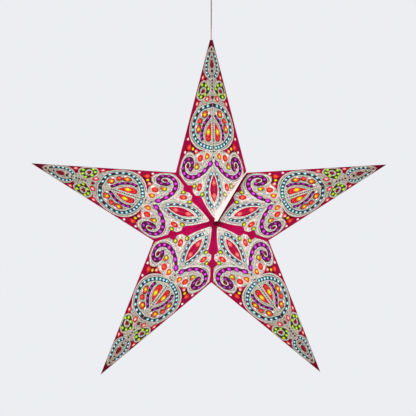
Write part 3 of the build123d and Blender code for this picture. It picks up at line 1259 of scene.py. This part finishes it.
    def edge_group(self) -> None:
        """Pinholes, a red drop and two small beads along the edge."""
        self.spot(Ink.WHITE, Cut.ROUND, (171.2, 54.8), (4.6, 4.4), 0, 0.9)
        self.spot(Ink.WHITE, Cut.ROUND, (192.6, 61.6), (4.6, 4.4), 0, 0.9)
        patch = smooth((
            (180, 48), (183, 57), (190, 59), (193, 52), (196.4, 46), (200.6, 41), (199, 33), (193, 34), (187, 41),
        ), closed=True)
        self.field(Ink.NIGHT, patch, self.silver - 0.03)
        self.spot(Ink.RED, Cut.DROP, (186.0, 51.4), (13.0, 12.4), 205)
        self.rimmed(Ink.YELLOW, Cut.ROUND, (190.8, 43.6), (6.4, 6.0), 0, Ink.NIGHT, 0.5)
        self.spot(Ink.PINK, Cut.DROP, (196.4, 37.2), (9.4, 8.0), 135)

    def pale_field(self) -> None:
        """The silver ground that the bridge, the curl and the petals share."""
        self.field(Ink.SILVER, (
            (196, 0), (201, 14), (199, 25), (199.5, 33), (201.6, 40.6), (196.4, 46), (193, 54), (196, 61.6), (204, 69),
            (216, 74.2), (226, 75.4), (236.4, 71.6), (245, 64.4), (250.2, 55.6), (251.8, 49), (252.8, 46.4),
            (258, 45.4), (264, 45.4), (269, 42.2), (271.6, 36.8), (272.8, 31), (277, 26.6), (284, 22.8),
            (292, 18.0), (301, 11.8), (308, 6.6), (313, 2.6), (315, 0),
        ), self.silver - 0.02)

    def bridge(self) -> None:
        """The three cells between the medallion and the curl."""
        self.rimmed(Ink.AMBER, Cut.DROP, (209.8, 13.4), (12.4, 11.6), 170, Ink.BLUSH, 0.8)
        self.spot(Ink.YELLOW, Cut.ROUND, (211.4, 13.0), (6.4, 6.4), 0, 1.5)
        for at in ((203.6, 31.8), (204.8, 34.4), (217.0, 23.6)):
            self.spot(Ink.WHITE, Cut.ROUND, at, (5.6, 4.8), 30, 0.6)
        self.rimmed(Ink.RED, Cut.ROUND, (210.4, 27.8), (12.0, 12.6), 20, Ink.BLUSH, 0.8)
        self.rimmed(Ink.AMBER, Cut.ROUND, (220.0, 36.2), (6.6, 6.8), 0, Ink.NIGHT, 0.4)
        self.rimmed(Ink.YELLOW, Cut.ROUND, (223.8, 35.8), (7.2, 8.4), 0, Ink.OLIVE_GROUND, 0.7)
        for path, wide in (
            (((206, 0.8), (211, 5), (216.5, 12), (222.5, 19), (227, 28), (229, 37), (227.5, 44)), 1.4),
            (((204, 20.5), (202.6, 26), (203.4, 38.6), (206.5, 41.6), (213, 40.8), (221, 42.4)), 1.4),
            (((203.5, 8), (202.5, 15), (205, 20.8), (213, 20.2), (217, 15.5)), 1.2),
        ):
            self.line(smooth(path), self.silver, wide)
        self.bars(Ink.NIGHT, (204.8, 215.0), (1.8, 1.4), self.inner)

    def curl_print(self) -> None:
        """The curl's silver outline, pink ground, purple gems and eye."""
        rim = smooth((
            (218.5, 0.8), (229, 6.0), (238.4, 17), (244.8, 30), (247.0, 43), (245.6, 54.4), (239.8, 64.2), (231, 70.0),
            (220, 71.4), (208.8, 67.8), (200, 61.2), (196.8, 53.4), (198.8, 46.8), (204.8, 42.8), (212.6, 41.4),
        ))
        self.line(rim, self.silver, 2.6)
        self.line(shifted(rim, 2.2), self.silver, 0.8, Ink.MARK_GROUND)
        turns = self.curl.gem_turns()
        first, last = self.curl.start - 7, turns[-1][0] + 12
        band = self.curl.path(first, last, 4.7) + self.curl.path(first, last, -4.4)[::-1]
        self.field(Ink.CURL_GROUND, band, self.ground)
        self.line(self.curl.path(first, last - 90, 5.2), self.ground - 0.04, 1.2)
        self.line(self.curl.path(first, last - 130, -5.1), self.ground - 0.04, 1.6)
        self.field(Ink.SILVER, oval(self.curl.eye, (6.6, 5.0), 20), self.inner)
        self.line(oval(self.curl.eye, (6.0, 4.4), 20), self.inner, 1.3, closed=True)
        self.spot(Ink.EYE, Cut.LEAF, self.curl.eye, (10.6, 7.2), 0, 0.9)
        for turn, size in turns:
            ink = Ink.PURPLE if size > 0.5 else Ink.PLUM
            gem = (6.2 + 4.9 * size, 5.9 + 4.2 * size)
            self.spot(ink, Cut.GEM, self.curl.spot(turn), gem, self.curl.lean(turn))

    def mandorla(self) -> None:
        """The long lens on the ridge in its ring of teal beads and its outer petal."""
        self.line(smooth((
            (227, 1.0), (238, 12.2), (250, 19.2), (262, 23.6), (275, 25.0), (285, 21.4), (296, 14.4), (305, 7.8),
            (312.6, 1),
        )), self.silver, 1.6)
        beads = ((242, 5.2), (250.9, 10.0), (260.6, 13.1), (270.6, 14.6), (280.4, 13.6), (289, 10.0), (295.6, 4.9))
        self.bead_ring(((239.4, 3.4), (297.6, 2.8)), beads, (6.6, 6.2), 3.2, Ink.MARK_GROUND)
        self.field(Ink.LENS, almond(243.6, 290.4, 8.0, 1.0, 0.9), self.cell)
        self.line(almond(243.2, 290.8, 8.5, 1.0, 0.9), self.cell - 0.06, 1.2)
        for start, end, lean in ((252.0, 262.6, 1.25), (274.0, 285.0, 0.8)):
            self.field(Ink.EMBER, almond(start, end, 3.3, lean, 0.8, 12), self.rim, 0.4)
            self.field(Ink.EMBER, almond(start + 2.2, end - 2.6, 1.9, lean, 0.8, 10), self.rim + 0.1, 1.0)
        for (s0, v0), (s1, v1) in zip(beads, beads[1:]):
            self.spot(Ink.NIGHT, Cut.SQUARE, ((s0 + s1) / 2, (v0 + v1) / 2 + 0.6), (2.2, 2.2), 45, 0.6)

    def side_petal(self) -> None:
        """The small petal by the valley with its lens and two yellow-green beads."""
        drop = smooth((
            (246.4, 24.6), (252.0, 31.6), (255.4, 38.6), (261.6, 44.2), (268.4, 43.4), (270.6, 37.0), (267.6, 29.6),
            (261.4, 24.6), (253.6, 22.4),
        ), closed=True)
        self.line(drop, self.silver + 0.02, 1.7, closed=True)
        self.rimmed(Ink.RED, Cut.ROUND, (258.8, 30.8), (13.6, 11.2), 20, Ink.BLUSH, 0.7)
        self.spot(Ink.PINK, Cut.ROUND, (260.4, 29.4), (4.2, 3.4), 20, 1.5)
        self.spot(Ink.WHITE, Cut.DROP, (265.4, 39.0), (7.0, 5.0), 240, 0.6)
        self.spot(Ink.WHITE, Cut.DROP, (251.6, 23.6), (6.6, 4.2), 210, 0.6)
        self.rimmed(Ink.LIME, Cut.ROUND, (254.8, 41.6), (7.0, 7.2), 0, Ink.OLIVE_GROUND, 0.8)
        self.rimmed(Ink.LIME, Cut.ROUND, (272.0, 25.2), (6.8, 7.2), 0, Ink.OLIVE_GROUND, 0.8)

    def masters(self) -> dict[Ink, Object]:
        """Join each ink's pieces into one flat master."""
        found = {ink: Bench.join(pieces, f"master_{ink.value.name}") for ink, pieces in self.pieces.items() if pieces}
        Bench.remove(self.cutter.made.values())
        return found


@dataclass(frozen=True)
class PrintedStar:
    """The print of the whole star, four faces to a point."""

    longer: float = 1.01
    plain_glow: float = 0.5

    def places(self, point: Point) -> list[Matrix]:
        """Where a point's faces lie; the lifted front ones of the top point are a little longer."""
        faces = [(STAR.face(point, side, front), front) for side in (1, -1) for front in (True, False)]
        stretch = Matrix.Diagonal((self.longer, 1, 1, 1))
        return [place @ stretch if front and point is Point.TOP else place for place, front in faces]

    def build(self) -> None:
        """Copy the flat pattern to every face and dress it."""
        masters = FacePattern().masters()
        for ink, master in masters.items():
            if GLOW not in master.data.attributes:
                Bench.glow(master, self.plain_glow)
            master.data.materials.clear()
            master.data.materials.append(ink.value.material())
            for point in Point:
                twins = [Bench.copy(master, place) for place in self.places(point)]
                piece = Bench.join(twins, f"{ink.value.name}_{point.name.lower()}")
                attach(piece, "root")
            log.info("%s on all faces, %d faces a point", ink.value.name, len(piece.data.polygons))
        Bench.remove(masters.values())


@dataclass
class ApexTab:
    """The end of the top point's glue flange, which closes the valley beside the lifted apex."""

    length: float = 18.0
    inner: float = 1.5
    thick: float = 0.25
    behind: float = 0.05
    below: float = 0.1
    clear: float = 0.3

    def build(self) -> None:
        """Raise the tab in the plane of the valley, on the top point's side."""
        along = Vector((-math.sin(HALF_STEP), 0, math.cos(HALF_STEP)))
        place = Matrix((along, Vector((0, 1, 0)), along.cross(Vector((0, 1, 0))))).transposed().to_4x4()
        share = 1.0 - self.length * MM / STAR.notch_radius
        plain, lifted = STAR.half_depth / MM, (STAR.half_depth + STAR.seam_lift) / MM
        outline = [
            (self.clear, self.clear - lifted), (self.length, self.below - lifted * share),
            (self.length, self.inner - plain * share), (self.clear, self.inner - plain),
        ]
        piece = Bench.sheet(outline, self.behind - self.thick, -self.behind)
        piece.data.transform(Matrix.Translation(STAR.centre) @ place @ Matrix.Scale(MM, 4))
        piece.name = piece.data.name = "apex_tab"
        piece.data.materials.append(DyedPaperPaintedFalloff("tab_paper").material())
        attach(piece, "root")
        log.info("apex_tab, %.0f mm long", self.length)


@dataclass
class LampFlex:
    """The taut flex between the ceiling nut and the lampholder's cap."""

    top: float = -0.015
    bottom: float = -0.364
    diameter: float = 0.0022
    middle: float = -0.19
    end: float = 0.012

    def build(self) -> None:
        heights = (self.bottom, self.bottom + self.end, self.middle, self.top - self.end, self.top)
        piece = Bench.curve("lamp_flex", "NURBS", [(0, 0, height) for height in heights], self.diameter)
        piece.data.resolution_u = 12
        piece.data.bevel_resolution = 3
        piece.data.splines[0].order_u = 3
        piece.data.splines[0].use_endpoint_u = True
        piece.data.materials.append(FlexJacket().material())
        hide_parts("lamp_cord")
        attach(piece, "root")
        log.info("lamp_flex, %.0f mm", (self.top - self.bottom) / MM)


class Dressing:
    """The finishes that the carried-over solids get."""

    def build(self) -> None:
        """Put each finish in its nodes' slots."""
        paper = DyedPaperPaintedFalloff().material()
        tissue = Tissue().material()
        holder = Moulded("holder_ivory", (226, 220, 206)).material()
        finishes = {
            "closing_dots": Moulded("hook_and_loop_white", (232, 230, 224), 0.85).material(),
            "tip_grip": Moulded("grip_clear_grey", (196, 198, 200)).material(),
            "bulb": FrostedGlass().material(),
            "lampholder": holder,
            "lampholder_cap": holder,
            "ceiling_cup": Moulded("cup_white", (236, 234, 228)).material(),
            "ceiling_flex_nut": Moulded("nut_white", (228, 226, 220), 0.32).material(),
        }
        for point in Point:
            finishes[f"point_{point.name.lower()}"] = paper
            finishes[f"lining_{point.name.lower()}"] = tissue
        for node, material in finishes.items():
            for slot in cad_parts[node].material_slots:
                slot.material = material
            log.info("%s takes %s", node, material.name)


@dataclass(frozen=True)
class SoftLamp:
    """One large soft lamp that looks at the star, in metres and watts."""

    name: str
    place: tuple[float, float, float]
    size: float
    power: float

    def build(self) -> None:
        """Set it up."""
        data = bpy.data.lights.new(self.name, "AREA")
        data.size = self.size
        data.energy = self.power
        lamp = bpy.data.objects.new(self.name, data)
        bpy.context.collection.objects.link(lamp)
        lamp.location = self.place
        lamp.rotation_euler = (STAR.centre - Vector(self.place)).to_track_quat("-Z", "Y").to_euler()


@dataclass(frozen=True)
class Studio:
    """The camera at the photograph's angle, soft light and a pale sweep."""

    turn: float = 3.6
    look_up: float = 0.1
    aside: float = -0.0056
    above: float = 0.0231
    distance: float = 1.4
    view_width: float = 0.6997
    backdrop: Colour = (236, 238, 242)
    room_light: float = 0.55
    floor_drop: float = 1.6
    floor_size: float = 60.0
    sensor: float = 36
    clip_end: float = 30
    lamps: tuple[SoftLamp, ...] = (
        SoftLamp("key", (-1.6, -2.4, 1.0), 2.2, 62),
        SoftLamp("fill", (2.2, -1.8, 0.2), 2.4, 34),
        SoftLamp("back", (0.6, 2.6, 1.4), 2.4, 40),
    )

    def build(self) -> None:
        """Set the camera, the lamps and the backdrop."""
        self.camera()
        self.world()
        for lamp in self.lamps:
            lamp.build()
        self.floor()

    def camera(self) -> None:
        """Stand the camera a little to the left, looking at the star."""
        yaw, pitch = math.radians(self.turn), math.radians(self.look_up)
        ahead = Vector((math.sin(yaw) * math.cos(pitch), math.cos(yaw) * math.cos(pitch), math.sin(pitch)))
        right = Vector((math.cos(yaw), -math.sin(yaw), 0))
        up = right.cross(ahead)
        data = bpy.data.cameras.new("camera")
        data.sensor_width = self.sensor
        data.lens = self.sensor * self.distance / self.view_width
        data.clip_end = self.clip_end
        camera = bpy.data.objects.new("camera", data)
        bpy.context.collection.objects.link(camera)
        camera.location = STAR.centre + right * self.aside + up * self.above - ahead * self.distance
        camera.rotation_euler = ahead.to_track_quat("-Z", "Y").to_euler()
        bpy.context.scene.camera = camera

    def world(self) -> None:
        """Light the room evenly, and show a pale backdrop to the eye and in gloss."""
        recipe = Recipe("room", "worlds")
        path = recipe.node("LightPath")
        rays = recipe.value(path, "Is Camera Ray")
        for kind in ("Is Glossy Ray", "Is Transmission Ray"):
            rays = rays.greater(recipe.value(path, kind))
        room = recipe.node("Background", {}, {"Color": (1, 1, 1, 1), "Strength": self.room_light})
        seen = recipe.node("Background", {}, {"Color": linear(self.backdrop)})
        mixed = recipe.node("MixShader", {}, {0: rays, 1: room, 2: seen})
        bpy.context.scene.world = recipe.close(mixed, "World")
    def floor(self) -> None:
        """Lay the pale floor well below the lantern."""
        Bench.clear()
        bpy.ops.mesh.primitive_plane_add(size=1, location=(0, 0, -self.floor_drop))
        piece = bpy.context.object
        piece.name = "pale_floor"
        piece.data.transform(Matrix.Diagonal((self.floor_size, self.floor_size, 1, 1)))
        piece.data.materials.append(Plain().material(self.backdrop))


def main() -> None:
    """Build the lantern's looks in order."""
    Studio().build()
    LampFlex().build()
    ApexTab().build()
    Dressing().build()
    PrintedStar().build()
    bpy.context.scene.view_settings.view_transform = "Standard"


if __name__ == "__main__":
    main()
